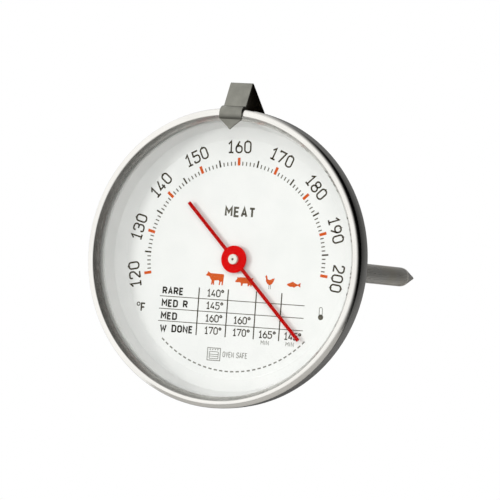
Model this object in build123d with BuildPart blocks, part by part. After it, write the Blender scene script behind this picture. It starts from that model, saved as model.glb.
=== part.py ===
from build123d import *
import os
from math import cos, radians, sin, tan

os.makedirs("parts", exist_ok=True)

# Dial meat thermometer with a bimetal movement, in millimetres.
# The stem axis is Y: the dial faces -Y and the probe points to +Y. +Z is the top of the dial.
# The origin is on the stem axis, at the rear face of the collar that joins the stem to the case.

# ---- driving dimensions ----
# stem
stem_d = 4.76               # 3/16 inch tube
stem_wall = 0.35
stem_reach = 111.3          # collar face to the point
point_length = 9.3
point_plug_length = 2.5     # part of the point that fills the end of the tube
point_tip_r = 0.35
point_tip_arc = -77         # sweep of the rounded tip, from the axis round to the cone

# case
case_wall_r = 37.6
case_sheet = 0.6
case_corner_r = 6.0
case_back_y = -3.4          # outer face of the back
boss_y = -3.0               # raised ring of the back, around the collar
boss_r = 11.0
boss_slope = 1.5
bezel_sheet = 0.5
bead_r = 1.5                # outer half of the bezel's front bead
bead_y = -12.9              # plane through the bead's centre circle
bead_inner_r = 35.1         # where the bead's inner flank meets the glass
flank_angle = 60            # the inner flank's rise from the plane of the glass
crest_r = 0.55              # where crest and flank meet
bezel_skirt_end = -8.2

# glass, gasket and dial
glass_front = -12.4
glass_t = 2.0
glass_r = 36.7
glass_edge = 0.2            # chamfer
gasket_t = 0.5
gasket_inner_r = 35.3
dial_front = -5.5
dial_t = 0.5
dial_flat_r = 30.7
dial_cone_angle = 22.5      # rise of the first cone; the second rises three times as steeply
dial_hole_r = 1.2

# stem head
swage_r = 2.6               # thickened end of the tube, held by the collar and the lock ring
collar_r = 4.4
collar_chamfer = 0.6
lock_ring_r = 6.0
bearing_end = -1.0
guide_starts = {"guide_bush_upper": 28.0, "guide_bush_lower": 54.0}
guide_length = 3.0
shaft_clearance = 0.04

# pointer
spindle_r = 0.4
pivot_r = 0.25
rest_angle = 137.4          # clockwise from the top, seen from the front
pointer_front = -6.8
pointer_t = 0.3
pointer_long = 27.6
pointer_tail = 19.5
pointer_width = 0.9
hub_r = 3.5
bush_head_r = 1.3
bush_shank_r = 0.9
bush_rim_r = 0.2
bush_cap_t = 0.5
bush_front = -7.5
bush_rear = -5.95
pivot_recess = 0.05         # the pivot's end lies this far behind the bush's face

# bimetal coil
coil_start = 61.5
coil_pitch = 1.5
coil_turns = 24
coil_mean_r = 1.4
coil_strip_t = 0.25
coil_strip_w = 1.1
coil_gap = 0.02
anchor_hole_r = 0.5

# target temperature marker
marker_angle = 2.2          # clockwise from the top, seen from the front
marker_width = 6.2
marker_t = 0.4
marker_gap = 0.25           # clearance to the bead
marker_tip_half_width = 0.15
marker_tip_lean = 0.18      # how far the tip leans away from the glass
marker_bend_run = 0.3       # straight run between the wrap and the bend on either side of it
marker_bend_r = 0.35
marker_tip_z = 32.7         # this and the points below are (y, z) in the marker's own plane
marker_apex = (-9.1, 44.95)
marker_knee = (-0.4, 37.4)
marker_grip = (-2.92, 32.7)
marker_tail = (-1.5, 31.3)
marker_rear_bends = (0.45, 1.0, 0.8)   # bend radii at the apex, the knee and the grip

# ---- derived sizes ----
stem_r = stem_d / 2
bore_r = stem_r - stem_wall
cone_y = stem_reach - point_length
case_inner_y = boss_y - case_sheet
bead_centre_r = case_wall_r + bezel_sheet - bead_r
glass_back = glass_front + glass_t
gasket_back = glass_back + gasket_t
dial_rim_r = dial_front - gasket_back
dial_back = dial_front + dial_t
coil_end = coil_start + coil_pitch * coil_turns
coil_seat_r = coil_mean_r - coil_strip_t / 2 - coil_gap


def across(y):
    """Plane square to the stem axis at y, seen from the front."""
    return Plane.XZ.offset(-y)


def clockwise(angle):
    """Direction on the dial at an angle from the top, clockwise seen from the front."""
    return Vector(sin(radians(angle)), 0, cos(radians(angle)))


def annulus(outer_r, inner_r):
    """Plain ring about the stem axis, drawn in the current sketch."""
    Circle(outer_r)
    Circle(inner_r, mode=Mode.SUBTRACT)


def finish(piece, name):
    """Label one sub-part and write its STEP file."""
    piece.part.label = name
    export_step(piece.part, f"parts/{name}.step")


# ---- case: a pressed steel cup with a shallow boss at its centre ----
def cup_profile(inset, front):
    """Half section of the cup, moved inwards by inset, from the rim at front to the axis."""
    wall_r = case_wall_r - inset
    corner_r = case_corner_r - inset
    back = case_back_y - inset
    boss = boss_y - inset
    wall = Line((wall_r, front), (wall_r, back - corner_r))
    corner = CenterArc((wall_r - corner_r, back - corner_r), corner_r, 0, 90)
    Polyline(corner @ 1, (boss_r + boss_slope, back), (boss_r, boss), (0, boss))
    Polyline((0, boss), (0, front), wall @ 0)


with BuildPart() as case_back:
    with BuildSketch(Plane.XY):
        with BuildLine():
            cup_profile(0, bead_y)
        make_face()
        with BuildLine():
            cup_profile(case_sheet, bead_y)
        make_face(mode=Mode.SUBTRACT)
    revolve(axis=Axis.Y)
    with BuildSketch(across(0)):
        Circle(collar_r)
    extrude(amount=-dial_back, mode=Mode.SUBTRACT)
finish(case_back, "case_back")

# ---- bezel: sheet ring rolled over the rim, its conical inner flank bearing on the glass ----
def bezel_line(inset):
    """One face of the bezel's sheet, inset from the outer one, from the skirt's end to the glass."""
    rise = Vector(-cos(radians(flank_angle)), sin(radians(flank_angle)))
    foot = Vector(bead_inner_r, glass_front) + Vector(rise.Y, -rise.X) * inset
    crest_y = bead_y - bead_r + inset
    crest = foot + rise * ((crest_y - foot.Y) / rise.Y)
    end = foot + rise * ((glass_front - foot.Y) / rise.Y)
    skirt_r = case_wall_r + bezel_sheet - inset
    corners = ((skirt_r, bezel_skirt_end), (skirt_r, crest_y), crest, end)
    return FilletPolyline(*corners, radius=(bead_r - inset, crest_r - inset))


with BuildPart() as bezel:
    with BuildSketch(Plane.XY):
        with BuildLine():
            outer_face = bezel_line(0)
            inner_face = bezel_line(bezel_sheet)
            Line(outer_face @ 0, inner_face @ 0)
            Line(outer_face @ 1, inner_face @ 1)
        make_face()
    revolve(axis=Axis.Y)
    skirt_edge = bezel.edges().filter_by(GeomType.CIRCLE).group_by(Axis.Y)[-1].sort_by(SortBy.RADIUS)[-1]
    fillet(skirt_edge, radius=bezel_sheet * 0.6)
finish(bezel, "bezel")

# ---- flat glass with eased edges, and the gasket behind it ----
with BuildPart() as lens:
    with BuildSketch(across(glass_back)):
        Circle(glass_r)
    extrude(amount=glass_t)
    chamfer(lens.edges(), length=glass_edge)
finish(lens, "lens")

with BuildPart() as lens_gasket:
    with BuildSketch(across(gasket_back)):
        annulus(glass_r, gasket_inner_r)
    extrude(amount=gasket_t)
finish(lens_gasket, "lens_gasket")

# ---- dial: flat disc whose rim rises in two cones to a flange under the gasket ----
def mitre(before, after):
    """Shift of a corner for unit thickness, where faces that rise by these angles meet."""
    lean = radians(before + after) / 2
    return Vector(sin(lean), cos(lean)) / cos(radians(before - after) / 2)


def dial_line(inset):
    """One face of the dial's sheet, inset from the front one, from the centre hole to the flange."""
    knee_angle = radians(2 * dial_cone_angle)
    knee = Vector(dial_flat_r + dial_rim_r * sin(knee_angle), dial_front - dial_rim_r * (1 - cos(knee_angle)))
    Polyline(
        (dial_hole_r, dial_front + inset),
        Vector(dial_flat_r, dial_front) + mitre(0, dial_cone_angle) * inset,
        knee + mitre(dial_cone_angle, 3 * dial_cone_angle) * inset,
        Vector(dial_flat_r + dial_rim_r, gasket_back) + mitre(3 * dial_cone_angle, 0) * inset,
        (glass_r, gasket_back + inset),
    )


with BuildPart() as dial_plate:
    with BuildSketch(Plane.XY):
        with BuildLine():
            dial_line(0)
            dial_line(dial_t)
            Line((dial_hole_r, dial_front), (dial_hole_r, dial_back))
            Line((glass_r, gasket_back), (glass_r, gasket_back + dial_t))
        make_face()
    revolve(axis=Axis.Y)
finish(dial_plate, "dial_plate")

# ---- stem: tube, welded point, collar through the back and lock ring inside it ----
with BuildPart() as stem_tube:
    with BuildSketch(across(cone_y)):
        annulus(stem_r, bore_r)
    extrude(amount=cone_y)
    with BuildSketch(across(0)):
        annulus(swage_r, bore_r)
    extrude(amount=-dial_back)
finish(stem_tube, "stem_tube")

plug_y = cone_y - point_plug_length
with BuildPart() as stem_tip:
    with BuildSketch(Plane.XY):
        with BuildLine():
            ball = Vector(0, stem_reach - point_tip_r)
            nose = CenterArc(ball, point_tip_r, 90, point_tip_arc)
            Polyline(
                nose @ 1,
                (stem_r, cone_y),
                (bore_r, cone_y),
                (bore_r, plug_y),
                (0, plug_y),
                nose @ 0,
            )
        make_face()
    revolve(axis=Axis.Y)
finish(stem_tip, "stem_tip")

with BuildPart() as stem_collar:
    with BuildSketch(across(0)):
        annulus(collar_r, swage_r)
    extrude(amount=-case_inner_y)
    rear_rim = stem_collar.edges().filter_by(GeomType.CIRCLE).group_by(Axis.Y)[-1].sort_by(SortBy.RADIUS)[-1]
    chamfer(rear_rim, length=collar_chamfer)
finish(stem_collar, "stem_collar")

with BuildPart() as stem_lock_ring:
    with BuildSketch(across(case_inner_y)):
        annulus(lock_ring_r, swage_r)
    extrude(amount=case_inner_y - dial_back)
finish(stem_lock_ring, "stem_lock_ring")

# ---- bearings that hold the spindle on the axis of the tube ----
shaft_hole_r = spindle_r + shaft_clearance
with BuildPart() as upper_bearing:
    with BuildSketch(across(bearing_end)):
        annulus(bore_r, shaft_hole_r)
    extrude(amount=bearing_end - dial_back)
finish(upper_bearing, "upper_bearing")

for name, start in guide_starts.items():
    with BuildPart() as guide_bush:
        with BuildSketch(across(start + guide_length)):
            annulus(bore_r, shaft_hole_r)
        extrude(amount=guide_length)
    finish(guide_bush, name)

# ---- bimetal coil: flat strip wound as a helix, anchored at the point end ----
with BuildPart() as bimetal_coil:
    with BuildLine() as winding:
        Helix(coil_pitch, coil_pitch * coil_turns, coil_mean_r, (0, coil_start, 0), (0, 1, 0))
    with BuildSketch(Plane(winding.line @ 0, x_dir=(0, 1, 0), z_dir=winding.line % 0)):
        Rectangle(coil_strip_w, coil_strip_t)
    sweep(path=winding.line, is_frenet=True)
finish(bimetal_coil, "bimetal_coil")

with BuildPart() as coil_anchor:
    with BuildSketch(across(plug_y)):
        annulus(bore_r, anchor_hole_r)
    extrude(amount=plug_y - (coil_end + coil_strip_w))
    with BuildSketch(across(coil_end + coil_strip_w)):
        annulus(coil_seat_r, anchor_hole_r)
    extrude(amount=coil_strip_w + coil_pitch)
finish(coil_anchor, "coil_anchor")

# ---- rotor: coil collar, spindle, pointer bush and pointer ----
collar_front = coil_start - coil_strip_w
collar_rear = coil_start + coil_pitch
with BuildPart() as coil_collar:
    with BuildSketch(across(collar_rear)):
        annulus(coil_seat_r, spindle_r)
    extrude(amount=collar_rear - collar_front)
finish(coil_collar, "coil_collar")

shoulder_y = bush_front + bush_cap_t
with BuildPart() as spindle:
    with BuildSketch(across(collar_rear)):
        Circle(spindle_r)
    extrude(amount=collar_rear - shoulder_y)
    with BuildSketch(across(shoulder_y)):
        Circle(pivot_r)
    extrude(amount=bush_cap_t - pivot_recess)
finish(spindle, "spindle")

pointer_rear = pointer_front + pointer_t
with BuildPart() as pointer_bush:
    with BuildSketch(Plane.XY):
        with BuildLine():
            Polyline(
                (pivot_r, bush_front),
                (bush_head_r, bush_front),
                (bush_head_r, pointer_front),
                (bush_shank_r, pointer_front),
                (bush_shank_r, pointer_rear),
                (bush_head_r, pointer_rear),
                (bush_head_r, bush_rear),
                (spindle_r, bush_rear),
                (spindle_r, shoulder_y),
                (pivot_r, shoulder_y),
                close=True,
            )
        make_face()
    revolve(axis=Axis.Y)
    front_rim = pointer_bush.edges().group_by(Axis.Y)[0].sort_by(SortBy.RADIUS)[-1]
    fillet(front_rim, radius=bush_rim_r)
finish(pointer_bush, "pointer_bush")

pointing = clockwise(rest_angle)
with BuildPart() as pointer:
    with BuildSketch(Plane((0, pointer_rear, 0), x_dir=pointing, z_dir=(0, -1, 0))):
        Circle(hub_r)
        with Locations((-pointer_tail, 0)):
            Rectangle(pointer_tail + pointer_long, pointer_width, align=(Align.MIN, Align.CENTER))
        Circle(bush_shank_r, mode=Mode.SUBTRACT)
    extrude(amount=pointer_t)
finish(pointer, "pointer")

# ---- target temperature marker: one bent strip sprung over the rim ----
# Its centre line goes from the tip in front of the glass, around the bead, up to the apex,
# down behind the case and in to a flared foot that grips the back.
wrap_r = bead_r + marker_gap + marker_t / 2
wrap_front = 212            # where the wrap leaves the bead, measured from +Y towards +Z
wrap_top = 85
wrap_half = (wrap_front - wrap_top) / 2


def on_bead(angle, radius):
    """Point of the side view at an angle and radius about the top of the bead's centre circle."""
    return Vector(bead_y + radius * cos(radians(angle)), bead_centre_r + radius * sin(radians(angle)))


def along_wrap(angle, run):
    """Point reached by leaving the wrap tangentially at angle."""
    return on_bead(angle, wrap_r) + Vector(-sin(radians(angle)), cos(radians(angle))) * run


crease = along_wrap(wrap_front, marker_bend_run)
marker_tip = Vector(crease.X - marker_tip_lean, marker_tip_z)
wrap_corner = on_bead(wrap_top + wrap_half, wrap_r / cos(radians(wrap_half)))
front_bend = along_wrap(wrap_top, -marker_bend_run)
bends = (crease, wrap_corner, front_bend, marker_apex, marker_knee, marker_grip)
bend_radii = (marker_bend_r, wrap_r, marker_bend_r, *marker_rear_bends)

marker_across = clockwise(marker_angle + 90)
marker_side = Plane((0, 0, 0), x_dir=(0, 1, 0), z_dir=marker_across)
marker_face = Plane((0, marker_tip.X + 1, 0), x_dir=marker_across, z_dir=(0, -1, 0))
with BuildPart() as marker_clip:
    with BuildSketch(marker_side):
        with BuildLine():
            centre_line = FilletPolyline(marker_tip, *bends, marker_tail, radius=bend_radii)
            offset(centre_line, amount=marker_t / 2, side=Side.BOTH, kind=Kind.INTERSECTION)
        make_face()
    extrude(amount=marker_width / 2, both=True)
    with BuildSketch(marker_face):
        with BuildLine():
            Polyline(
                (marker_tip_half_width, marker_tip_z),
                (marker_width / 2, crease.Y),
                (marker_width, crease.Y),
                (marker_width, marker_tip_z - 1),
                (marker_tip_half_width, marker_tip_z - 1),
                close=True,
            )
        make_face()
        mirror(about=Plane.YZ)
    extrude(amount=2, mode=Mode.SUBTRACT)
finish(marker_clip, "marker_clip")
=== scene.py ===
import math

import bmesh
import bpy
from mathutils import Matrix, Vector


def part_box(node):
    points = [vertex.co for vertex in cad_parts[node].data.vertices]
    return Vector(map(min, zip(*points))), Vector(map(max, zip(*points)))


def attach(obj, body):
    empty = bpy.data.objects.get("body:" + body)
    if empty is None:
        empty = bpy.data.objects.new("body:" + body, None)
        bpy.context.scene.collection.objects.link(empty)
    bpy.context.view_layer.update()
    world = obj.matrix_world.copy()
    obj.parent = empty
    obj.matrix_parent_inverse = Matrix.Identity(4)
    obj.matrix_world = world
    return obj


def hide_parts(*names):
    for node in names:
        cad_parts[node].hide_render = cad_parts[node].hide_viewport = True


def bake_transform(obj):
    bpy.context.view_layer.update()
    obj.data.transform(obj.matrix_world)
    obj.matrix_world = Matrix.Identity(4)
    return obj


# A dial meat thermometer. The frame is the CAD one, in metres: the stem axis is Y, the dial faces -Y,
# +Z is the top of the dial. Sizes below are in millimetres and are multiplied by MM where they are used,
# but for the floor, the lamps and the camera's distance, which are in metres.
MM = 0.001
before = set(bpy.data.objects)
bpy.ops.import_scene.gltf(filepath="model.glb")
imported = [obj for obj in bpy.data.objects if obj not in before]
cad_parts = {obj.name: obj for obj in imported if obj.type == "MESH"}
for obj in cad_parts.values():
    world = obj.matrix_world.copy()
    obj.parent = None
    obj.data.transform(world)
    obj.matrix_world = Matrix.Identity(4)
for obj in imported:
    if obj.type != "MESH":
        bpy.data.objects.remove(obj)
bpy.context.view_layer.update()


# ---------------------------------------------------------------- sizes, read from the frame
def span(node):
    """Lowest and highest corner of a CAD node, in millimetres."""
    low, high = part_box(node)
    return low / MM, high / MM


bezel_low, bezel_high = span("bezel")
case_low, case_high = span("case_back")
lens_low, lens_high = span("lens")
gasket_low, gasket_high = span("lens_gasket")
dial_low, dial_high = span("dial_plate")
tube_low, tube_high = span("stem_tube")
tip_low, tip_high = span("stem_tip")
collar_low, collar_high = span("stem_collar")
pointer_low, pointer_high = span("pointer")
bush_low, bush_high = span("pointer_bush")
coil_low, coil_high = span("bimetal_coil")

BEZEL_R = bezel_high.x
CASE_R = case_high.x
STEM_R = tube_high.x
STEM_WALL = 0.35
BEZEL_SHEET = BEZEL_R - CASE_R
BEAD_R = 3 * BEZEL_SHEET
BEAD_CENTRE_R = BEZEL_R - BEAD_R
BEAD_Y = bezel_low.y + BEAD_R
BEAD_INNER_R = BEAD_CENTRE_R - BEAD_R
FLANK_ANGLE = math.radians(60)
CREST_R = 0.55
CASE_SHEET = 0.6
CASE_CORNER_R = 6.0
BOSS_HEIGHT = 0.4
CASE_BACK = case_high.y - BOSS_HEIGHT
BOSS_R = 11.0
BOSS_SLOPE = 1.5
DIAL_T = 0.5
DIAL_FRONT = dial_high.y - DIAL_T
DIAL_RIM_R = DIAL_FRONT - dial_low.y
DIAL_FLAT_R = 30.7
DIAL_HOLE_R = 1.2
POINTER_ANGLE = 137.4          # clockwise from the top
MARKER_ANGLE = 2.2


# ---------------------------------------------------------------- mesh helpers
def add_object(name, vertices, faces, sharp_angle):
    """Closed object from millimetre vertices, smooth apart from edges sharper than sharp_angle degrees."""
    mesh = bpy.data.meshes.new(name)
    mesh.from_pydata([Vector(v) * MM for v in vertices], [], faces)
    mesh.validate()
    mesh.shade_smooth()
    mesh.set_sharp_from_angle(angle=math.radians(sharp_angle))
    shape = bmesh.new()
    shape.from_mesh(mesh)
    bmesh.ops.recalc_face_normals(shape, faces=shape.faces)
    shape.to_mesh(mesh)
    shape.free()
    piece = bpy.data.objects.new(name, mesh)
    bpy.context.scene.collection.objects.link(piece)
    return piece


def arc(centre, radius, start, end, steps=8):
    """Points of an arc; angles in degrees from the first axis towards the second."""
    turn = (end - start) / steps
    angles = [math.radians(start + turn * i) for i in range(steps + 1)]
    return [(centre[0] + radius * math.cos(a), centre[1] + radius * math.sin(a)) for a in angles]


def rounded(points, radius, closed=True, steps=5, limit=0.5):
    """The polyline with its corners rounded; radius is one number or one per point, 0 for a sharp corner.

    A corner takes up no more than limit, a share, of the lines beside it. Without steps, it has one
    for each 6 degrees and at least 6.
    """
    count = len(points)
    radii = [radius] * count if isinstance(radius, (int, float)) else list(radius)
    made = []
    for i, point in enumerate(points):
        here = Vector(point)
        if radii[i] == 0 or (not closed and i in (0, count - 1)):
            made.append(tuple(here))
            continue
        back = Vector(points[i - 1]) - here
        ahead = Vector(points[(i + 1) % count]) - here
        half = back.angle(ahead) / 2
        if half > math.radians(89) or half < math.radians(1):   # nearly straight, or folded back
            made.append(tuple(here))
            continue
        reach = min(radii[i] / math.tan(half), back.length * limit, ahead.length * limit)
        bend = reach * math.tan(half)
        centre = here + (back.normalized() + ahead.normalized()).normalized() * (bend / math.sin(half))
        first = here + back.normalized() * reach - centre
        last = here + ahead.normalized() * reach - centre
        sweep = first.angle_signed(last)
        parts = steps or max(6, int(abs(math.degrees(sweep)) / 6))
        for k in range(parts + 1):
            made.append(tuple(centre + Matrix.Rotation(-sweep * k / parts, 2) @ first))
    return made


def lathe(name, profile, segments=256, sharp_angle=30):
    """Solid of revolution about the stem axis from a closed (radius, y) profile."""
    vertices, faces, rings = [], [], []
    for radius, y in profile:
        if radius < 1e-6:
            rings.append([len(vertices)] * segments)
            vertices.append((0, y, 0))
            continue
        rings.append(list(range(len(vertices), len(vertices) + segments)))
        for k in range(segments):
            a = 2 * math.pi * k / segments
            vertices.append((radius * math.sin(a), y, radius * math.cos(a)))
    for i, ring in enumerate(rings):
        after = rings[(i + 1) % len(rings)]
        if ring[0] == ring[1] and after[0] == after[1]:         # both are points on the axis
            continue
        for k in range(segments):
            j = (k + 1) % segments
            corners = [ring[k], ring[j], after[j], after[k]]
            faces.append(list(dict.fromkeys(corners)))
    return add_object(name, vertices, faces, sharp_angle)


def loft(name, tubes, sharp_angle):
    """One object of closed tubes, each a list of rows that have the same number of points."""
    vertices, faces = [], []
    for rows in tubes:
        count = len(rows[0])
        start = len(vertices)
        last = start + count * (len(rows) - 1)
        for row in rows:
            vertices += row
        for base in range(start, last, count):
            for i in range(count):
                j = (i + 1) % count
                faces.append([base + i, base + j, base + count + j, base + count + i])
        faces += [list(range(start, start + count))[::-1], list(range(last, last + count))]
    return add_object(name, vertices, faces, sharp_angle)


def place(piece, body, slot, material, *nodes):
    """Gives a new piece its material and body, and hides the CAD nodes that it stands for; slot is not used.
    """
    piece.data.materials.append(material)
    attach(piece, body)
    if nodes:
        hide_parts(*nodes)
    return piece


# ---------------------------------------------------------------- materials
def add_node(tree, kind, links=None, **settings):
    """A shader node; links gives its sockets a value or the output of another node."""
    made = tree.nodes.new("ShaderNode" + kind)
    for key, value in settings.items():
        setattr(made, key, value)
    for socket, source in (links or {}).items():
        if isinstance(source, bpy.types.NodeSocket):
            tree.links.new(source, made.inputs[socket])
        else:
            made.inputs[socket].default_value = source
    return made


def rgba(colour):
    return colour if isinstance(colour, bpy.types.NodeSocket) else (*colour, 1)


class Shader:
    """A Principled material whose detail is built up node by node."""

    def __init__(self, name, colour, **sockets):
        self.material = bpy.data.materials.new(name)
        self.material.use_nodes = True
        self.material.diffuse_color = rgba(colour)
        self.tree = self.material.node_tree
        self.shader = self.tree.nodes["Principled BSDF"]
        self.shader.inputs["Base Color"].default_value = rgba(colour)
        for socket, value in sockets.items():
            self.shader.inputs[socket.replace("_", " ")].default_value = value

    def node(self, kind, links=None, **settings):
        return add_node(self.tree, kind, links, **settings)

    def math(self, operation, a, b=0.0):
        return self.node("Math", {0: a, 1: b}, operation=operation).outputs[0]

    def object_point(self):
        return self.node("TexCoord").outputs["Object"]

    def turned_point(self, across, along):
        """Point (radius, angle, y) about the stem axis, scaled so that texture lines run round it."""
        parts = self.node("SeparateXYZ", {0: self.object_point()})
        x, y, z = parts.outputs
        square = self.math("ADD", self.math("MULTIPLY", x, x), self.math("MULTIPLY", z, z))
        radius = self.math("MULTIPLY", self.math("SQRT", square), across)
        angle = self.math("MULTIPLY", self.math("ARCTAN2", x, z), along)
        height = self.math("MULTIPLY", y, across)
        return self.node("CombineXYZ", {0: radius, 1: angle, 2: height}).outputs[0]

    def scaled_point(self, x, y, z):
        return self.node("Mapping", {"Vector": self.object_point(), "Scale": (x, y, z)}).outputs[0]

    def noise(self, scale, detail=4.0, point=None, roughness=0.55):
        links = {"Scale": scale, "Detail": detail, "Roughness": roughness}
        links["Vector"] = point or self.object_point()
        return self.node("TexNoise", links).outputs["Fac"]

    def spread(self, value, low, high, out_low=0.0, out_high=1.0):
        """value from low..high remapped to out_low..out_high, clamped."""
        links = {0: value, 1: low, 2: high, 3: out_low, 4: out_high}
        return self.node("MapRange", links).outputs[0]

    def vary(self, noise, low, high):
        """The middle range of a noise remapped to low..high."""
        return self.spread(noise, 0.3, 0.7, low, high)

    def mix(self, factor, first, second):
        links = {0: factor, 6: rgba(first), 7: rgba(second)}
        return self.node("Mix", links, data_type="RGBA").outputs[2]

    def edge_wear(self, radius=0.15, low=0.02, high=0.25):
        """1 near convex edges: how far a bevelled normal leaves the true one."""
        bevel = self.node("Bevel", {"Radius": radius * MM}, samples=4)
        true_normal = self.node("NewGeometry").outputs["Normal"]
        turn = self.node("VectorMath", {0: bevel.outputs[0], 1: true_normal}, operation="DOT_PRODUCT")
        return self.spread(self.math("SUBTRACT", 1.0, turn.outputs["Value"]), low, high)

    def colour(self, source):
        self.tree.links.new(source, self.shader.inputs["Base Color"])

    def rough(self, source):
        self.tree.links.new(source, self.shader.inputs["Roughness"])

    def bump(self, height, distance, strength=1.0):
        links = {"Height": height, "Distance": distance * MM, "Strength": strength}
        made = self.node("Bump", links)
        self.tree.links.new(made.outputs[0], self.shader.inputs["Normal"])
        return self


def turned_steel(name, colour, roughness, lines, line_depth, dark_reflection_r=None):
    """Polished or spun stainless steel: fine lines round the axis, faint smears and pale edges.

    Inside the radius that the last argument gives, the colour is darkened as a painted dark reflection, most
    of all just inside that radius.
    """
    steel = Shader(name, colour, Metallic=1.0)
    fine = steel.noise(1.0, 3.0, steel.turned_point(lines / MM, 6.0))
    broad = steel.noise(1.0, 2.0, steel.turned_point(lines * 0.12 / MM, 1.5))
    smear = steel.noise(90.0, 5.0)
    tone = steel.mix(steel.spread(smear, 0.35, 0.7), [c * 0.93 for c in colour], colour)
    wear_and_painted_reflection = steel.mix(steel.edge_wear(), tone, [min(1.0, c * 1.08) for c in colour])
    if dark_reflection_r is not None:
        flat = steel.node("VectorMath", {0: steel.object_point(), 1: (1, 0, 1)}, operation="MULTIPLY")
        radius = steel.node("VectorMath", {0: flat.outputs[0]}, operation="LENGTH").outputs["Value"]
        # painted dark reflection on the bezel's inner flank: darkest just inside the radius, weaker further
        # in
        inside = steel.spread(radius, (dark_reflection_r + 0.25) * MM, (dark_reflection_r - 0.1) * MM)
        painted_reflection_falloff = steel.spread(radius, (dark_reflection_r - 0.8) * MM, (dark_reflection_r - 0.4) * MM, 0.45, 1.0)
        inside = steel.math("MULTIPLY", inside, painted_reflection_falloff)
        painted_reflection_breakup = steel.vary(smear, 0.8, 1.0)
        wear_and_painted_reflection = steel.mix(steel.math("MULTIPLY", inside, painted_reflection_breakup), wear_and_painted_reflection, [c * 0.5 for c in colour])
    steel.colour(wear_and_painted_reflection)
    both = steel.math("ADD", steel.math("MULTIPLY", fine, 0.5), steel.math("MULTIPLY", smear, 0.5))
    steel.rough(steel.vary(both, roughness * 0.7, roughness * 1.4))
    height = steel.math("ADD", fine, steel.math("MULTIPLY", broad, 0.6))
    return steel.bump(height, line_depth, 0.35).material


def drawn_steel(name, colour, roughness):
    """Drawn steel: rings round Y from grinding, faint scratches along Y and a straw tint in patches."""
    steel = Shader(name, colour, Metallic=0.7)
    rings = steel.noise(1.0, 3.0, steel.scaled_point(60, 9000, 60))
    scratches = steel.noise(1.0, 4.0, steel.scaled_point(2600, 45, 2600))
    patches = steel.noise(70.0, 4.0)
    straw = (colour[0] * 0.98, colour[1] * 0.94, colour[2] * 0.84)
    steel.colour(steel.mix(steel.spread(patches, 0.42, 0.75), colour, straw))
    steel.rough(steel.vary(scratches, roughness * 0.75, roughness * 1.35))
    height = steel.math("ADD", rings, steel.math("MULTIPLY", scratches, 0.8))
    return steel.bump(height, 0.006, 0.4).material


def spring_strip(name, colour, roughness, inner_y=None):
    """Rolled spring strip: grain along its length, dull bloom, bright rubbed edges.

    Behind inner_y the faces that look forwards get painted shade, nearly black, and faces turned downwards,
    the bend's underside, get painted shade too.
    """
    strip = Shader(name, colour, Metallic=1.0)
    grain = strip.noise(1.0, 5.0, strip.scaled_point(5200, 300, 300))
    bloom = strip.noise(420.0, 5.0)
    dull = [c * 0.82 for c in colour]
    toned = strip.mix(strip.spread(bloom, 0.35, 0.7), dull, colour)
    bright = [min(1.0, c * 1.35) for c in colour]
    shade = strip.mix(strip.edge_wear(0.1), toned, bright)
    if inner_y is not None:
        across = strip.node("SeparateXYZ", {0: strip.object_point()}).outputs["Y"]
        facing = strip.node("SeparateXYZ", {0: strip.node("TexCoord").outputs["Normal"]}).outputs
        behind = strip.spread(across, (inner_y - 0.3) * MM, inner_y * MM)
        # painted shade: forward-facing faces behind inner_y, inside the clip's bend, go nearly black (below)
        inside = strip.math("MULTIPLY", behind, strip.spread(facing["Y"], 0.05, -0.25))
        # painted shade: faces turned downwards are darkened
        shade = strip.mix(strip.spread(facing["Z"], 0.05, -0.5), shade, [c * 0.45 for c in colour])
        shade = strip.mix(inside, shade, (0.02, 0.016, 0.01))
    strip.colour(shade)
    strip.rough(strip.vary(grain, roughness * 0.8, roughness * 1.3))
    return strip.bump(grain, 0.01, 0.35).material


def enamel(name, colour, shade):
    """Dial enamel: faint cloudiness and a fine orange peel."""
    paint = Shader(name, colour, IOR=1.5)
    cloud = paint.noise(130.0, 4.0)
    paint.colour(paint.mix(paint.spread(cloud, 0.4, 0.72), colour, shade))
    peel = paint.noise(1500.0, 2.0)
    paint.rough(paint.vary(peel, 0.34, 0.48))
    return paint.bump(peel, 0.004, 0.25).material


def ink(name, colour):
    """Screen printed ink: slightly uneven cover and a matt, pebbled face."""
    print_ink = Shader(name, colour, IOR=1.45, Specular_IOR_Level=0.2)
    cover = print_ink.noise(2600.0, 3.0)
    lighter = [c + (0.6 - c) * 0.07 for c in colour]
    print_ink.colour(print_ink.mix(print_ink.spread(cover, 0.5, 0.8), colour, lighter))
    print_ink.rough(print_ink.vary(cover, 0.425, 0.575))
    return print_ink.bump(cover, 0.003, 0.3).material


def lacquer(name, colour):
    """Sprayed red lacquer over metal: soft gloss, flow marks, thin dark edges."""
    red = Shader(name, colour, IOR=1.5, Specular_IOR_Level=0.03)
    flow = red.noise(900.0, 3.0)
    deep = [c * 0.72 for c in colour]
    toned = red.mix(red.spread(flow, 0.35, 0.75), colour, [c * 0.88 for c in colour])
    red.colour(red.mix(red.edge_wear(0.08, 0.05, 0.5), toned, deep))
    red.rough(red.vary(flow, 0.3, 0.42))
    return red.bump(flow, 0.006, 0.3).material


def turned_bush(name, colour):
    """Bright turned bush with fine facing marks."""
    metal = Shader(name, colour, Metallic=0.25)
    marks = metal.noise(1.0, 3.0, metal.turned_point(14 / MM, 3.0))
    metal.colour(metal.mix(metal.spread(marks, 0.35, 0.7), colour, [c * 0.94 for c in colour]))
    metal.rough(metal.vary(marks, 0.24, 0.36))
    return metal.bump(marks, 0.004, 0.3).material


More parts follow.
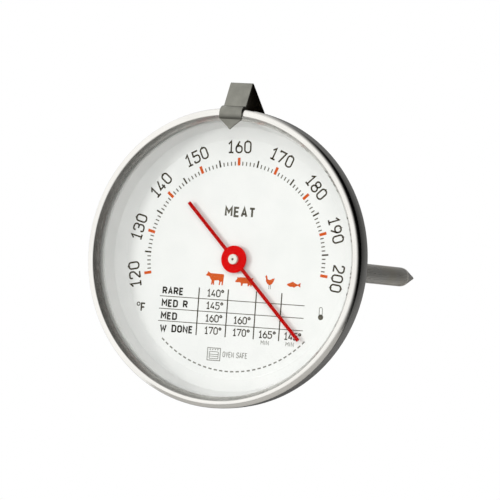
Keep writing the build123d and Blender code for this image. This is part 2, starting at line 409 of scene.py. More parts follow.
def bearing_metal(name, colour):
    """Sintered bearing metal: fine pores and oil-dark patches."""
    metal = Shader(name, colour, Metallic=1.0)
    pores = metal.noise(5000.0, 2.0)
    oil = metal.noise(300.0, 3.0)
    metal.colour(metal.mix(metal.spread(oil, 0.4, 0.7), colour, [c * 0.6 for c in colour]))
    metal.rough(metal.vary(pores, 0.35, 0.6))
    return metal.bump(pores, 0.01, 0.5).material


def silicone(name, colour):
    """Moulded silicone: soft, slightly dusty."""
    rubber = Shader(name, colour, IOR=1.41)
    dust = rubber.noise(800.0, 4.0)
    rubber.colour(rubber.mix(rubber.spread(dust, 0.4, 0.75), colour, [c * 0.85 + 0.1 for c in colour]))
    rubber.rough(rubber.vary(dust, 0.5, 0.7))
    return rubber.bump(dust, 0.01, 0.3).material


def window_glass(name):
    """Flat glass: clear, with a dim Fresnel mirror on both faces and very faint smears."""
    glass = Shader(name, (0.96, 0.98, 0.97))
    tree = glass.tree
    tree.nodes.remove(glass.shader)
    smear = glass.noise(55.0, 5.0)
    clear = glass.node("BsdfTransparent", {"Color": (0.985, 0.99, 0.985, 1)})
    mirror = glass.node("BsdfGlossy", {"Color": (0.06, 0.06, 0.06, 1)})
    tree.links.new(glass.spread(smear, 0.35, 0.75, 0.01, 0.05), mirror.inputs["Roughness"])
    back_face = glass.node("NewGeometry").outputs["Backfacing"]
    fresnel = glass.node("Fresnel", {"IOR": glass.spread(back_face, 0.0, 1.0, 1.5, 1 / 1.5)})
    both = glass.node("MixShader", {0: fresnel.outputs[0], 1: clear.outputs[0], 2: mirror.outputs[0]})
    tree.links.new(both.outputs[0], tree.nodes["Material Output"].inputs["Surface"])
    return glass.material


# the bezel's inner flank gets a painted dark reflection
BEZEL_STEEL = turned_steel("bezel_steel", (0.86, 0.845, 0.805), roughness=0.17, lines=9.0,
                           line_depth=0.0012, dark_reflection_r=BEAD_CENTRE_R - 0.4)
CASE_STEEL = turned_steel("case_steel", (0.74, 0.73, 0.71), roughness=0.26, lines=5.0, line_depth=0.004)
PIVOT_STEEL = drawn_steel("pivot_steel", (0.07, 0.06, 0.05), roughness=0.42)
STEM_STEEL = drawn_steel("stem_steel", (0.86, 0.84, 0.79), roughness=0.32)
TIP_STEEL = drawn_steel("tip_steel", (0.84, 0.825, 0.785), roughness=0.33)
# the marker strip carries painted shade on its downward and inner faces
STRIP_STEEL = spring_strip("strip_steel", (0.285, 0.283, 0.248), roughness=0.36, inner_y=-8.9)
DIAL_WHITE = enamel("dial_white", (0.93, 0.925, 0.915), shade=(0.89, 0.89, 0.88))
DARK_INK = ink("dark_ink", (0.045, 0.034, 0.016))
BLACK_INK = ink("black_ink", (0.022, 0.018, 0.012))
GREY_INK = ink("grey_ink", (0.12, 0.11, 0.085))
PALE_INK = ink("pale_ink", (0.22, 0.215, 0.19))
ORANGE_INK = ink("orange_ink", (0.66, 0.095, 0.008))
POINTER_RED = lacquer("pointer_red", (0.72, 0.002, 0.002))
# the arms' red is the hub's red darkened: painted shade
SHADED_ARM_RED = lacquer("arm_red_painted_shade", (0.50, 0.003, 0.002))
BUSH_METAL = turned_bush("bush_metal", (0.90, 0.88, 0.80))
BRONZE = bearing_metal("bronze", (0.55, 0.40, 0.20))
SILICONE = silicone("silicone", (0.70, 0.70, 0.68))
GLASS = window_glass("window_glass")
BIMETAL = spring_strip("bimetal_strip", (0.52, 0.50, 0.44), roughness=0.35)


# ---------------------------------------------------------------- case, bezel, glass, gasket
def bezel_face(inset):
    """A face of the bezel's sheet, moved in by inset: round the bead, over the crest, down to the glass."""
    rise = Vector((-math.cos(FLANK_ANGLE), math.sin(FLANK_ANGLE)))
    foot = Vector((BEAD_INNER_R, lens_low.y)) + Vector((rise.y, -rise.x)) * inset
    crest_y = bezel_low.y + inset
    crest = foot + rise * ((crest_y - foot.y) / rise.y)
    end = foot + rise * ((lens_low.y - foot.y) / rise.y)
    made = arc((BEAD_CENTRE_R, BEAD_Y), BEAD_R - inset, 0, -90, 24)
    made += rounded([made[-1], tuple(crest), tuple(end)], CREST_R - inset, False, 8)[1:]
    return made


def make_bezel():
    """Rolled sheet ring: a skirt that closes in slightly, a rounded front and a conical inner flank."""
    skirt_y = bezel_high.y
    edge = BEZEL_SHEET * 0.5
    taper = 0.22
    outer = arc((BEZEL_R - taper - edge, skirt_y - edge), edge, 90, 0, 6)
    for k in range(1, 12):
        share = k / 12
        outer.append((BEZEL_R - taper * (1 - share) ** 2, skirt_y - edge + (BEAD_Y - skirt_y + edge) * share))
    front = bezel_face(0)
    inside = bezel_face(BEZEL_SHEET)
    # the sheet's inner edge stays just off the glass, with its corners taken off
    off_glass, corner_y, corner_r = 0.02, 0.08, 0.06
    front_r, inside_r, end_y = front[-1][0], inside[-1][0], front[-1][1]
    lip = [(front_r + corner_r, end_y - off_glass), (inside_r - corner_r, end_y - off_glass)]
    front[-1] = (front_r + corner_y / 2, end_y - corner_y)
    inside[-1] = (inside_r, end_y - corner_y)
    piece = lathe("bezel_ring", outer + front + lip + inside[::-1] + [(CASE_R, skirt_y)], 360)
    place(piece, "case", "polished_steel", BEZEL_STEEL, "bezel")


def make_case():
    """Spun cup with a rounded corner and a raised boss in the middle of its back."""
    boss_bend_r = 1.2

    def side(inset):
        wall_r = CASE_R - inset
        corner_r = CASE_CORNER_R - inset
        back = CASE_BACK - inset
        boss = case_high.y - inset
        corner = arc((wall_r - corner_r, back - corner_r), corner_r, 0, 90, 16)
        bottom = [corner[-1], (BOSS_R + BOSS_SLOPE, back), (BOSS_R, boss), (STEM_R, boss)]
        return [(wall_r, case_low.y)] + corner + rounded(bottom, boss_bend_r, False)[1:]

    piece = lathe("case_cup", side(0) + side(CASE_SHEET)[::-1], 360)
    return place(piece, "case", "polished_steel", CASE_STEEL, "case_back")


def make_lens():
    edge = 0.2
    back, front, radius = lens_high.y, lens_low.y, lens_high.x
    profile = [(0, front)]
    profile += arc((radius - edge, front + edge), edge, -90, 0, 4)
    profile += arc((radius - edge, back - edge), edge, 0, 90, 4)
    profile += [(0, back)]
    place(lathe("lens_disc", profile), "case", "glass", GLASS, "lens")


def make_gasket():
    clearance, width, corner_r = 0.01, 1.4, 0.12
    low, high = gasket_low.y + clearance, gasket_high.y - clearance
    inner, outer = gasket_high.x - width, gasket_high.x
    corners = [(inner, low), (outer, low), (outer, high), (inner, high)]
    piece = lathe("gasket_ring", rounded(corners, corner_r, steps=3))
    place(piece, "case", "silicone", SILICONE, "lens_gasket")


def make_dial():
    """White dial: a flat, a shallow cone, a steep cone and a flange, with softened creases."""
    def mitre(before, after):
        """Way from a crease between two slopes to the crease of a face that is 1 further back."""
        lean = math.radians(before + after) / 2
        return Vector((math.sin(lean), math.cos(lean))) / math.cos(math.radians(before - after) / 2)

    # the two cones are chords of a quarter circle and meet in its middle
    shallow, middle, steep = 22.5, math.radians(45), 67.5
    knee = Vector((DIAL_FLAT_R + DIAL_RIM_R * math.sin(middle),
                   DIAL_FRONT - DIAL_RIM_R * (1 - math.cos(middle))))
    lip = Vector((DIAL_FLAT_R + DIAL_RIM_R, DIAL_FRONT - DIAL_RIM_R))

    def face(inset):
        return [(DIAL_HOLE_R, DIAL_FRONT + inset),
                Vector((DIAL_FLAT_R, DIAL_FRONT)) + mitre(0, shallow) * inset,
                knee + mitre(shallow, steep) * inset,
                lip + mitre(steep, 0) * inset,
                (dial_high.x, lip.y + inset)]

    front = rounded(face(0), [0, 0.4, 0.6, 0.15, 0], False, 5)
    back = rounded(face(DIAL_T), [0, 0.4, 0.9, 0.15, 0], False, 5)
    piece = lathe("dial_disc", front + back[::-1], sharp_angle=40)
    place(piece, "case", "dial_white", DIAL_WHITE, "dial_plate")


# ---------------------------------------------------------------- stem
def make_tube():
    """Stem tube: a chamfer at the top and a slight neck where the point is welded on."""
    bore = STEM_R - STEM_WALL
    top, end = tube_low.y, tube_high.y
    chamfer, neck_r = 0.1, STEM_R - 0.06
    profile = [(bore, top), (STEM_R - chamfer, top), (STEM_R, top + chamfer)]
    profile += [(STEM_R, top + (end - top) * k / 24) for k in range(1, 24)]
    profile += [(STEM_R, end - 0.25), (neck_r, end - 0.1), (neck_r, end), (bore, end)]
    place(lathe("stem_barrel", profile, 96), "case", "stem_steel", STEM_STEEL, "stem_tube")


def make_point():
    """Point: a blunt nose, a cone, a soft shoulder and a plug inside the tube."""
    plug_r = STEM_R - STEM_WALL
    seam = tube_high.y
    nose_r, shoulder_r = 0.35, 5.0
    profile = arc((0, tip_high.y - nose_r), nose_r, 90, 13, 8)
    profile += arc((STEM_R - shoulder_r, seam), shoulder_r, 14, 0, 6)
    profile += [(plug_r, seam), (plug_r, tip_low.y), (0, tip_low.y)]
    place(lathe("stem_point", profile, 96), "case", "stem_steel", TIP_STEEL, "stem_tip")


def make_collar():
    """Ferrule round the stem at the back of the case, with a sloping, softened rear edge."""
    radius, low, high = collar_high.x, collar_low.y, collar_high.y
    chamfer, slope = 0.15, 0.6
    front_edge, rear_edge = (radius, low + chamfer), (radius - slope, high)
    profile = [(STEM_R, low), (radius - chamfer, low), front_edge]
    profile += rounded([front_edge, (radius, high - slope), rear_edge], 0.2, False)[1:]
    profile += rounded([rear_edge, (STEM_R + 0.35, high), (STEM_R, high - 0.3)], 0.15, False)[1:]
    place(lathe("stem_ferrule", profile, 128), "case", "stem_steel", TIP_STEEL, "stem_collar")


# ---------------------------------------------------------------- flat shapes on the dial and pointer
def slab(name, outlines, front, back):
    """One object of flat closed outlines in (x, z), each a prism from y = front to y = back."""
    prisms = [[[(x, y, z) for x, z in outline] for y in (front, back)] for outline in outlines]
    return loft(name, prisms, 20)


def turned_by(points, angle):
    """Points turned clockwise about the dial's middle by angle degrees."""
    a = math.radians(angle)
    return [(x * math.cos(a) + z * math.sin(a), z * math.cos(a) - x * math.sin(a)) for x, z in points]


def ribbon(points, width, closed=False):
    """Closed outlines that give a stroke of that width along the points."""
    count = len(points)
    mitre_limit = 2.2
    left, right = [], []
    for i, point in enumerate(points):
        here = Vector(point)
        before = Vector(points[i - 1]) if (closed or i) else None
        after = Vector(points[(i + 1) % count]) if (closed or i < count - 1) else None
        into = (here - before).normalized() if before is not None else None
        out = (after - here).normalized() if after is not None else None
        along = out if into is None else into if out is None else (into + out)
        along = along.normalized()
        side = Vector((-along.y, along.x))
        stretch = 1.0
        if into is not None and out is not None:
            stretch = 1.0 / max(into.dot(along), 1 / mitre_limit)
        left.append(here + side * (width / 2 * stretch))
        right.append(here - side * (width / 2 * stretch))
    spans = range(count if closed else count - 1)
    return [[tuple(left[i]), tuple(left[(i + 1) % count]), tuple(right[(i + 1) % count]), tuple(right[i])]
            for i in spans]


# Stroke letters on a body 1 high; W is a figure's width and * a degree mark. A letter is its width and
# its strokes, and each stroke is (closed, radius of the corners, points).
W = 0.50
GLYPHS = {
    "0": (W, [(True, 0.25, [(0, 0), (W, 0), (W, 1), (0, 1)])]),
    "1": (0.42, [(False, 0, [(0.02, 0.74), (0.24, 1), (0.24, 0)]), (False, 0, [(0.04, 0), (0.44, 0)])]),
    "2": (W, [(False, 0.24, [(0, 0.72), (0, 1), (W, 1), (W, 0.56), (0.02, 0.03)]),
              (False, 0, [(0, 0), (W, 0)])]),
    "3": (W, [(False, 0.24, [(0, 0.76), (0, 1), (W, 1), (W, 0.54), (0.18, 0.54)]),
              (False, 0.26, [(0.18, 0.54), (W, 0.54), (W, 0), (0, 0), (0, 0.26)])]),
    "4": (W, [(False, 0, [(0.30, 1), (0.0, 0.24), (W, 0.24)]), (False, 0, [(0.37, 0.46), (0.37, 0)])]),
    "5": (W, [(False, 0, [(W, 1), (0.04, 1), (0.02, 0.56)]),
              (False, 0.25, [(0.02, 0.56), (0.12, 0.62), (W, 0.62), (W, 0), (0, 0), (0, 0.22)])]),
    "6": (W, [(True, 0.25, [(0, 0), (W, 0), (W, 0.6), (0, 0.6)]),
              (False, 0.3, [(0, 0.3), (0, 0.46), (0.3, 1)])]),
    "7": (W, [(False, 0, [(0, 0.86), (0, 1), (W, 1), (0.16, 0)])]),
    "8": (W, [(True, 0.25, [(0, 0), (W, 0), (W, 0.54), (0, 0.54)]),
              (True, 0.22, [(0.03, 0.54), (W - 0.03, 0.54), (W - 0.03, 1), (0.03, 1)])]),
    "9": (W, [(True, 0.25, [(0, 0.4), (W, 0.4), (W, 1), (0, 1)]),
              (False, 0.3, [(W, 0.7), (W, 0.54), (0.2, 0)])]),
    "A": (0.5, [(False, 0, [(0, 0), (0.25, 1), (0.5, 0)]), (False, 0, [(0.09, 0.3), (0.41, 0.3)])]),
    "D": (0.5, [(True, [0, 0.3, 0.3, 0], [(0, 0), (0.5, 0), (0.5, 1), (0, 1)])]),
    "E": (0.42, [(False, 0, [(0.42, 1), (0, 1), (0, 0), (0.42, 0)]), (False, 0, [(0, 0.52), (0.36, 0.52)])]),
    "F": (0.42, [(False, 0, [(0.42, 1), (0, 1), (0, 0)]), (False, 0, [(0, 0.5), (0.36, 0.5)])]),
    "I": (0.1, [(False, 0, [(0.05, 0), (0.05, 1)])]),
    "M": (0.6, [(False, 0, [(0, 0), (0, 1), (0.3, 0.42), (0.6, 1), (0.6, 0)])]),
    "N": (0.5, [(False, 0, [(0, 0), (0, 1), (0.5, 0), (0.5, 1)])]),
    "O": (0.5, [(True, 0.25, [(0, 0), (0.5, 0), (0.5, 1), (0, 1)])]),
    "R": (0.48, [(False, [0, 0, 0.25, 0.25, 0], [(0, 0), (0, 1), (0.48, 1), (0.48, 0.48), (0, 0.48)]),
                 (False, 0, [(0.24, 0.48), (0.48, 0)])]),
    "S": (0.48, [(False, 0.24, [(0.48, 0.78), (0.48, 1), (0, 1), (0, 0.52), (0.48, 0.52), (0.48, 0), (0, 0),
                                (0, 0.22)])]),
    "T": (0.5, [(False, 0, [(0, 1), (0.5, 1)]), (False, 0, [(0.25, 1), (0.25, 0)])]),
    "V": (0.5, [(False, 0, [(0, 1), (0.25, 0), (0.5, 1)])]),
    "W": (0.76, [(False, 0, [(0, 1), (0.19, 0), (0.38, 0.72), (0.57, 0), (0.76, 1)])]),
    "*": (0.30, [(True, 0.15, [(0, 0.70), (0.30, 0.70), (0.30, 1), (0, 1)])]),
    " ": (0.3, []),
}


def lettering(text, height, stroke, gap=0.24, squeeze=1.0):
    """Outlines of a line of text from x = 0 with its foot at z = 0, and its width."""
    outlines, x = [], 0.0
    for letter in text:
        width, strokes = GLYPHS[letter]
        for closed, radius, points in strokes:
            path = rounded(points, radius, closed, 6)
            path = [((x + u) * height * squeeze, v * (height - stroke) + stroke / 2) for u, v in path]
            outlines += ribbon(path, stroke, closed)
        x += width + gap
    return outlines, (x - gap) * height * squeeze


def text_at(text, x, z, height, stroke, gap=0.24, middle=False, squeeze=1.0):
    """Text whose foot starts at (x, z), or has its middle there."""
    outlines, width = lettering(text, height, stroke, gap, squeeze)
    if middle:
        x -= width / 2
    return [[(x + u, z + v) for u, v in outline] for outline in outlines]


def text_on_arc(text, angle, radius, height, stroke):
    """Text centred on the dial at an angle from the top, its middle at radius."""
    outlines, width = lettering(text, height, stroke)
    made = []
    for outline in outlines:
        made.append(turned_by([(u - width / 2, radius + v - height / 2) for u, v in outline], angle))
    return made


def box_outline(x0, z0, x1, z1):
    return [(x0, z0), (x1, z0), (x1, z1), (x0, z1)]


INK_T = 0.02                   # how far print stands above the dial


def printed(name, outlines, material):
    """A layer of print on the flat of the dial."""
    piece = slab(name, outlines, DIAL_FRONT - INK_T, DIAL_FRONT + INK_T / 2)
    place(piece, "case", "dial_white", material)


SCALE_LOW, SCALE_HIGH = 120, 200
SCALE_TOP = 160                # the value at the top of the dial
STEP = 2.468                   # degrees of arc for each degree Fahrenheit
TICK_INNER = 24.0              # radius at which the marks begin


def tick(value, length, width):
    bar = box_outline(-width / 2, TICK_INNER, width / 2, TICK_INNER + length)
    return turned_by(bar, (value - SCALE_TOP) * STEP)


def make_scale():
    """Marks for each degree Fahrenheit, figures for each tenth one and the unit."""
    values = range(SCALE_LOW, SCALE_HIGH + 1)
    tens = [tick(v, length=2.0, width=0.74) for v in values if v % 10 == 0]
    fives = [tick(v, length=1.8, width=0.42) for v in values if v % 10 == 5]
    ones = [tick(v, length=1.0, width=0.29) for v in values if v % 5]
    printed("scale_tens", tens, ORANGE_INK)
    printed("scale_fives", fives, DARK_INK)
    printed("scale_ones", ones, GREY_INK)
    figures = []
    for value in values[::10]:
        figures += text_on_arc(str(value), (value - SCALE_TOP) * STEP, radius=28.75, height=3.3, stroke=0.42)
    printed("scale_figures", figures, DARK_INK)
    degree_ring = arc((-26.5, -13.0), 0.42, 0, 345, 23)
    unit = ribbon(degree_ring, 0.24, True) + text_at("F", -25.65, -14.95, height=2.35, stroke=0.4)
    printed("scale_unit", askew(unit), DARK_INK)


PRINT_TURN = 2.4               # degrees clockwise, for the unit, the table and most pictures


def askew(outlines):
    return [turned_by(outline, PRINT_TURN) for outline in outlines]


# the table: the middle height of each row, and the middle of each column with its figures
ROWS = {"RARE": -9.1, "MED R": -12.3, "MED": -15.55, "W DONE": -18.7}
COLUMNS = {-4.95: ("140*", "145*", "160*", "170*"),
           3.0: ("", "", "160*", "170*"),
           10.3: ("", "", "", "165*"),
           17.4: ("", "", "", "145*")}
ROW_LINES = (-10.55, -13.75, -16.9)
COLUMN_LINES = (-9.6, -1.4, 6.5, 13.6)
TABLE_LEFT, TABLE_RIGHT, TABLE_LOW, TABLE_HIGH = -20.6, 20.1, -19.95, -7.75
WORDS_LEFT = -19.75
CAP = 1.95                     # height of the table's letters
FIGURES_UP = 0.15              # how much higher the figures stand than the words


def make_table():
    """Table of doneness: names of the rows, temperatures, rules and two small notes."""
    words, figures, notes = [], [], []
    for word, z in ROWS.items():
        words += text_at(word, WORDS_LEFT, z - CAP / 2, CAP, stroke=0.41, gap=0.32)
    printed("table_words", askew(words), BLACK_INK)
    for x, column in COLUMNS.items():
        for text, z in zip(column, ROWS.values()):
            figures += text_at(text, x, z + FIGURES_UP - CAP / 2, CAP, stroke=0.28, gap=0.2, middle=True)
    printed("table_figures", askew(figures), DARK_INK)
    for x, z in ((9.8, -21.2), (16.75, -21.15)):
        notes += text_at("MIN", x, z, height=1.15, stroke=0.15, gap=0.32, middle=True)
    printed("table_notes", askew(notes), PALE_INK)
    half_rule, half_upright = 0.1, 0.15
    rules = [box_outline(TABLE_LEFT, z - half_rule, TABLE_RIGHT, z + half_rule) for z in ROW_LINES]
    printed("table_rules", askew(rules), GREY_INK)
    uprights = [box_outline(x - half_upright, TABLE_LOW, x + half_upright, TABLE_HIGH) for x in COLUMN_LINES]
    printed("table_uprights", askew(uprights), DARK_INK)


# Plain animal shapes, each drawn to the left in a box one unit long with its feet at zero.
COW = [(0.0, 0.52), (0.05, 0.56), (0.10, 0.66), (0.07, 0.70), (0.13, 0.69), (0.17, 0.67), (0.24, 0.62),
       (0.97, 0.60), (1.0, 0.52), (0.98, 0.30), (0.96, 0.02), (0.89, 0.02), (0.88, 0.25), (0.82, 0.16),
       (0.80, 0.02), (0.73, 0.02), (0.76, 0.22), (0.70, 0.27), (0.48, 0.24), (0.48, 0.02), (0.41, 0.02),
       (0.41, 0.20), (0.38, 0.02), (0.31, 0.02), (0.33, 0.24), (0.26, 0.32), (0.20, 0.44), (0.10, 0.46),
       (0.02, 0.47)]
PIG = [(0.0, 0.22), (0.06, 0.27), (0.11, 0.36), (0.10, 0.44), (0.18, 0.40), (0.26, 0.42), (0.70, 0.42),
       (0.90, 0.38), (0.98, 0.44), (1.0, 0.40), (0.94, 0.30), (0.92, 0.18), (0.92, 0.0), (0.85, 0.0),
       (0.82, 0.12), (0.76, 0.0), (0.70, 0.0), (0.70, 0.13), (0.44, 0.12), (0.40, 0.0), (0.33, 0.0),
       (0.32, 0.14), (0.22, 0.17), (0.12, 0.16), (0.02, 0.16)]
HEN = [(0.0, 0.86), (0.08, 0.90), (0.10, 1.0), (0.20, 0.97), (0.24, 0.82), (0.28, 0.66), (0.42, 0.60),
       (0.62, 0.62), (0.74, 0.72), (0.88, 0.74), (1.0, 0.78), (0.93, 0.62), (0.86, 0.42), (0.72, 0.24),
       (0.56, 0.14), (0.44, 0.14), (0.24, 0.28), (0.12, 0.48), (0.12, 0.66), (0.08, 0.80)]
FISH = [(0.0, 0.22), (0.12, 0.30), (0.24, 0.34), (0.42, 0.44), (0.52, 0.37), (0.70, 0.29), (0.80, 0.26),
        (0.93, 0.36), (1.0, 0.38), (0.96, 0.22), (1.0, 0.06), (0.92, 0.10), (0.80, 0.19), (0.62, 0.10),
        (0.52, 0.02), (0.46, 0.08), (0.22, 0.08), (0.06, 0.16)]


def silhouette(shape, x, z, length, scale_z):
    """An animal with its nose at x and its feet at z; its points' heights are times scale_z."""
    return [(x + u * length, z + v * scale_z) for u, v in rounded(shape, 0.02, steps=2)]


def make_animals():
    """The animals over the table's columns."""
    animals = [silhouette(COW, x=-8.0, z=-6.9, length=5.1, scale_z=4.9),
               silhouette(PIG, x=0.3, z=-6.6, length=5.1, scale_z=5.2),
               silhouette(HEN, x=8.55, z=-6.35, length=2.8, scale_z=2.9),
               silhouette(FISH, x=14.75, z=-6.3, length=3.9, scale_z=3.8)]
    printed("picture_animals", askew(animals), ORANGE_INK)
    leg_w = 0.14
    legs = [box_outline(x, -6.95, x + leg_w, -5.9) for x in (9.75, 10.2)]
    printed("picture_hen_legs", askew(legs), PALE_INK)


def make_oven():
    """Small oven: a body, a window with two shelves, four knobs, and two words beside it."""
    left, low, right, high = -6.0, -26.05, -2.4, -22.9
    border = 0.55
    window_left, window_right = left + border, right - border
    oven = ribbon(box_outline(left, low, right, high), 0.2, True)
    window = box_outline(window_left, low + 0.45, window_right, high - 0.95)
    oven += ribbon(rounded(window, 0.15), 0.16, True)
    for shelf in (low + 0.95, low + 1.45):
        oven.append(box_outline(window_left, shelf, window_right, shelf + 0.15))
    knob_r, knob_step = 0.17, 0.72
    for k in range(4):
        oven.append(arc((left + knob_step * (k + 1), high - 0.38), knob_r, 0, 330, 11))
    printed("picture_oven", askew(oven), PALE_INK)
    words = text_at("OVEN SAFE", 1.75, -25.05, height=1.45, stroke=0.17, gap=0.26, middle=True, squeeze=0.76)
    printed("picture_words", askew(words), PALE_INK)


def make_heading():
    heading = text_at("MEAT", 0.3, 10.75, height=2.7, stroke=0.55, gap=0.32, middle=True)
    printed("picture_heading", askew(heading), GREY_INK)


def make_dashes():
    """Row of dashes round the foot of the dial."""
    length, inner, outer, step = 0.9, 28.45, 28.8, 3.1
    dash = box_outline(-length / 2, inner, length / 2, outer)
    printed("picture_dashes", [turned_by(dash, 180 + step * k) for k in range(-14, 15)], PALE_INK)


def make_gauge():
    """Small drawing of a thermometer at the right: a tube over a filled bulb."""
    x, z = 24.2, -13.3
    half_w, bulb_r = 0.42, 0.72
    tube = box_outline(x - half_w, z - 0.6, x + half_w, z + 1.6)
    bulb = arc((x, z - 0.9), bulb_r, 0, 345, 23)
    printed("picture_gauge", ribbon(rounded(tube, 0.4), 0.15, True) + [bulb], GREY_INK)


# ---------------------------------------------------------------- pointer and bush
POINTER_LONG, POINTER_TAIL = 27.6, 19.5
POINTER_W = 0.9
HUB_R = 3.5
RIVET_HOLE_R = 0.9
# the arms' face: how far it falls at each share of half their width
CAMBER = {-1.0: 0.10, -0.8: 0.045, -0.45: 0.012, 0.0: 0.0, 0.45: 0.012, 0.8: 0.045, 1.0: 0.10}


def pointer_arm(sign, reach):
    """Rows of one arm, from inside the hub's edge to a slightly narrower end."""
    front, back = pointer_low.y, pointer_high.y
    rows = []
    for distance, share in ((HUB_R - 0.25, 1.0), (HUB_R + 0.4, 1.0), (reach * 0.5, 1.0), (reach - 0.12, 1.0),
                            (reach, 0.82)):
        half = POINTER_W / 2 * share
        row = [(side * half, front + fall, sign * distance) for side, fall in CAMBER.items()]
        rows.append(row + [(half, back, sign * distance), (-half, back, sign * distance)])
    return rows


def make_pointer():
    """Hub disc and two arms, the arms cambered so that their edges fall away."""
    front, back = pointer_low.y, pointer_high.y
    edge = 0.06
    profile = [(RIVET_HOLE_R, front), (HUB_R - edge, front), (HUB_R, front + edge)]
    profile += [(HUB_R, back - edge), (HUB_R - edge, back), (RIVET_HOLE_R, back)]
    hub = lathe("pointer_hub", profile, 128)
    arms = loft("pointer_arms", [pointer_arm(1, POINTER_LONG), pointer_arm(-1, POINTER_TAIL)], 35)
    arms.data.transform(Matrix.Rotation(math.radians(POINTER_ANGLE), 4, "Y"))
    place(hub, "indicator", "pointer_red", POINTER_RED, "pointer")
    # the arms take the darker red, which is painted shade
    place(arms, "indicator", "pointer_red", SHADED_ARM_RED)


def make_bush():
    """Bush riveted through the pointer: a rounded head with the pivot's hole, a shank and a foot."""
    low, high, head = bush_low.y, bush_high.y, bush_high.x
    pivot_r, spindle_r = 0.25, 0.4
    head_bend, pivot_edge, pivot_depth = 0.22, 0.1, 0.5
    profile = [(pivot_r, low + pivot_edge), (pivot_r + 0.08, low)]
    profile += arc((head - head_bend, low + head_bend), head_bend, -90, 0, 6)
    profile += [(head, pointer_low.y), (RIVET_HOLE_R, pointer_low.y)]
    profile += [(RIVET_HOLE_R, pointer_high.y), (head, pointer_high.y), (head, high), (spindle_r, high)]
    profile += [(spindle_r, low + pivot_depth), (pivot_r, low + pivot_depth)]
    place(lathe("pointer_rivet", profile, 96), "indicator", "bush_metal", BUSH_METAL, "pointer_bush")


# ---------------------------------------------------------------- marker clip
MARKER_W = 6.2
MARKER_T = 0.4
MARKER_EDGE_R = 0.09
MARKER_GAP = 0.25              # between the strip and the bezel's bead
WRAP_FRONT, WRAP_TOP = 212, 85  # where the strip leaves the bead, in degrees from +Y towards +Z
MARKER_TIP_Z = 32.7
# the leg behind the bezel, in (y, z): its peak, knee, waist and flared foot
MARKER_LEG = [(-9.1, 44.95), (-0.4, 37.4), (-2.92, 32.7), (-1.5, 31.3)]


def marker_line():
    """Middle of the strip in (y, z) from the tip to the foot, with rounded bends, and the crease's z."""
    radius = BEAD_R + MARKER_GAP + MARKER_T / 2

    def on_bead(angle, out):
        a = math.radians(angle)
        return Vector((BEAD_Y + out * math.cos(a), BEAD_CENTRE_R + out * math.sin(a)))

    def leaving(angle, run):
        a = math.radians(angle)
        return on_bead(angle, radius) + Vector((-math.sin(a), math.cos(a))) * run

    run_front, run_top, tip_lean = 0.3, 0.35, 0.18
    half = (WRAP_FRONT - WRAP_TOP) / 2
    crease = leaving(WRAP_FRONT, run_front)
    corner = on_bead(WRAP_TOP + half, radius / math.cos(math.radians(half)))
    tip = Vector((crease.x - tip_lean, MARKER_TIP_Z))
    points = [tip, crease, corner, leaving(WRAP_TOP, -run_top)] + MARKER_LEG
    bends = [0, 0.35, radius, 0.35, 0.45, 1.0, 0.8, 0]
    return [Vector(p) for p in rounded(points, bends, closed=False, steps=None, limit=1.0)], crease.y


def make_marker():
    """Bent strip with rounded edges, its tip cut to a triangle."""
    line, crease_z = marker_line()
    # extra stations along the triangle, so that its sides are straight
    stations = [line[0].lerp(line[1], k / 4) for k in range(4)] + line[1:]
    triangle_stations = 8
    rows = []
    for i, here in enumerate(stations):
        before, after = stations[max(i - 1, 0)], stations[min(i + 1, len(stations) - 1)]
        along = (after - before).normalized()
        out = Vector((-along.y, along.x))
        share = 1.0
        if i < triangle_stations:
            share = min(1.0, max(0.05, (here.y - MARKER_TIP_Z) / (crease_z - MARKER_TIP_Z)))
        half_w, half_t = MARKER_W / 2 * share, MARKER_T / 2
        edge_r = min(MARKER_EDGE_R, half_w * 0.5)
        section = rounded(box_outline(-half_w, -half_t, half_w, half_t), edge_r, steps=3)
        rows.append([(x, here.x + out.x * lift, here.y + out.y * lift) for x, lift in section])
    piece = loft("marker_strip", [rows], 28)
    piece.data.transform(Matrix.Rotation(math.radians(MARKER_ANGLE), 4, "Y"))
    place(piece, "marker", "spring_steel", STRIP_STEEL, "marker_clip")


# ---------------------------------------------------------------- coil inside the stem
def make_coil():
    """Bimetal strip wound as a helix. In the thermometer its point end stays with the case and its other end
    turns; here it is one rigid piece on no body.
    """
    pitch, turns, mean_r = 1.5, 24, 1.4
    half_t, half_w = 0.125, 0.55
    per_turn = 32
    start = coil_low.y + half_w
    section = box_outline(mean_r - half_t, -half_w, mean_r + half_t, half_w)
    rows = []
    for k in range(turns * per_turn + 1):
        a = 2 * math.pi * k / per_turn
        y = start + pitch * k / per_turn
        rows.append([(radius * math.sin(a), y + lift, radius * math.cos(a)) for radius, lift in section])
    piece = loft("coil_winding", [rows], 40)
    piece.data.materials.append(BIMETAL)
    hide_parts("bimetal_coil")
    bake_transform(piece)


def dress_hidden_nodes():
    """Materials for the CAD pieces inside the head and the stem, which keep their CAD shape."""
    materials = {"stem_lock_ring": TIP_STEEL, "coil_anchor": TIP_STEEL, "coil_collar": TIP_STEEL,
                 "spindle": PIVOT_STEEL, "upper_bearing": BRONZE, "guide_bush_upper": BRONZE,
                 "guide_bush_lower": BRONZE}
    for name, material in materials.items():
        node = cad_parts[name]
        node.data.materials.clear()
        node.data.materials.append(material)


make_bezel()
CASE_CUP = make_case()
make_lens()
make_gasket()
make_dial()
make_tube()
make_point()
make_collar()
make_scale()
make_table()
make_animals()
make_oven()
make_heading()
make_dashes()
make_gauge()
make_pointer()
make_bush()
make_marker()
make_coil()
dress_hidden_nodes()


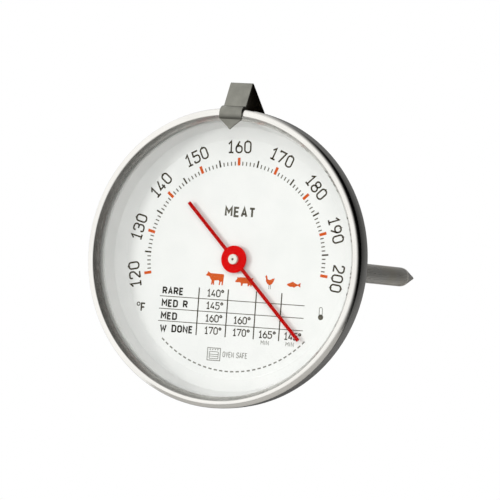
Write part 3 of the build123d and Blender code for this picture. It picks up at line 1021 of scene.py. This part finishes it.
# ---------------------------------------------------------------- floor, lights, camera
def make_floor():
    """Paper floor well below the head, in metres."""
    size, drop = 1.3, 1.0
    mesh = bpy.data.meshes.new("floor")
    corners = [(x, y, -drop) for x, y in box_outline(-size, -size, size, size)]
    mesh.from_pydata(corners, [], [(0, 1, 2, 3)])
    floor = bpy.data.objects.new("floor", mesh)
    bpy.context.scene.collection.objects.link(floor)
    paper = Shader("floor_paper", (0.72, 0.71, 0.69))
    tooth = paper.noise(300.0, 4.0)
    paper.rough(paper.vary(tooth, 0.75, 0.9))
    mesh.materials.append(paper.material)


def make_light(name, place_at, size, power, glossy=True):
    """Square lamp at a place in metres, turned towards the origin and never seen by the camera."""
    data = bpy.data.lights.new(name, "AREA")
    data.energy = power
    data.size = size
    lamp = bpy.data.objects.new(name, data)
    bpy.context.scene.collection.objects.link(lamp)
    lamp.location = place_at
    lamp.rotation_mode = "QUATERNION"
    lamp.rotation_quaternion = (-Vector(place_at)).to_track_quat("-Z", "Y")
    lamp.visible_camera = False
    lamp.visible_glossy = glossy
    return lamp


def shine_only_on(lamp, *pieces):
    """Link a lamp to a few pieces, so that it lights nothing else."""
    lit = bpy.data.collections.new(lamp.name + "_lit")
    for piece in pieces:
        lit.objects.link(piece)
    lamp.light_linking.receiver_collection = lit


def make_world():
    """White studio, which reflections see with a dark flag at the right, a grey floor and a dim back."""
    world = bpy.data.worlds.new("studio")
    bpy.context.scene.world = world
    world.use_nodes = True
    tree = world.node_tree
    background = tree.nodes["Background"]

    direction = add_node(tree, "TexCoord").outputs["Generated"]

    def lobe(towards, inner, outer):
        """1 inside inner degrees of a direction, 0 outside outer degrees."""
        links = {0: direction, 1: tuple(Vector(towards).normalized())}
        cosine = add_node(tree, "VectorMath", links, operation="DOT_PRODUCT").outputs["Value"]
        edges = [math.cos(math.radians(angle)) for angle in (outer, inner)]
        links = {0: cosine, 1: edges[0], 2: edges[1], 3: 0.0, 4: 1.0}
        return add_node(tree, "MapRange", links, interpolation_type="SMOOTHSTEP").outputs[0]

    def blend(factor, first, second):
        return add_node(tree, "Mix", {0: factor, 2: first, 3: second}, data_type="FLOAT").outputs[0]

    # the flag is black with a dim part at the back; the studio is white with a dark back and a grey floor
    flag = blend(lobe((-0.3, 0.93, -0.15), inner=22, outer=48), 0.0, 0.23)
    light = blend(lobe((-0.05, 1.0, -0.17), inner=30, outer=54), 1.12, 0.09)
    light = blend(lobe((0.25, -0.05, -1.0), inner=25, outer=70), light, 0.42)
    light = blend(lobe((0.8, 0.45, 0.35), inner=36, outer=95), light, flag)
    seen = add_node(tree, "LightPath").outputs["Is Camera Ray"]
    light = blend(seen, light, 1.0)
    tree.links.new(light, background.inputs["Strength"])
    background.inputs["Color"].default_value = (1, 1, 1, 1)


def make_camera():
    """Long lens a little below and to the right of the dial's axis, rolled slightly."""
    azimuth, elevation, roll = math.radians(24.625), math.radians(-1.976), math.radians(2.027)
    aim = Vector((3.918, -5.5, 2.493)) * MM
    distance = 1.3
    back = Vector((math.sin(azimuth) * math.cos(elevation), -math.cos(azimuth) * math.cos(elevation),
                   math.sin(elevation)))
    data = bpy.data.cameras.new("camera")
    data.sensor_width = 36.0
    data.lens = 367.6
    data.clip_start, data.clip_end = 0.05, 50
    camera = bpy.data.objects.new("camera", data)
    bpy.context.scene.collection.objects.link(camera)
    camera.location = aim + back * distance
    camera.rotation_mode = "QUATERNION"
    level = (-back).to_track_quat("-Z", "Y")
    camera.rotation_quaternion = level @ Matrix.Rotation(roll, 3, "Z").to_quaternion()
    bpy.context.scene.camera = camera


make_floor()
make_world()
make_light("key", (-0.62, -0.72, 0.05), size=0.16, power=3.1, glossy=False)
make_light("fill", (0.60, -0.95, 0.42), size=0.9, power=3.6, glossy=False)
for name, x, z in (("back_right", 1.2, -0.45), ("back_left", -1.2, -0.30)):
    shine_only_on(make_light(name, (x, 1.35, z), size=1.1, power=2.6), CASE_CUP)
make_camera()
bpy.context.scene.view_settings.view_transform = "Standard"
bpy.context.scene.view_settings.look = "None"
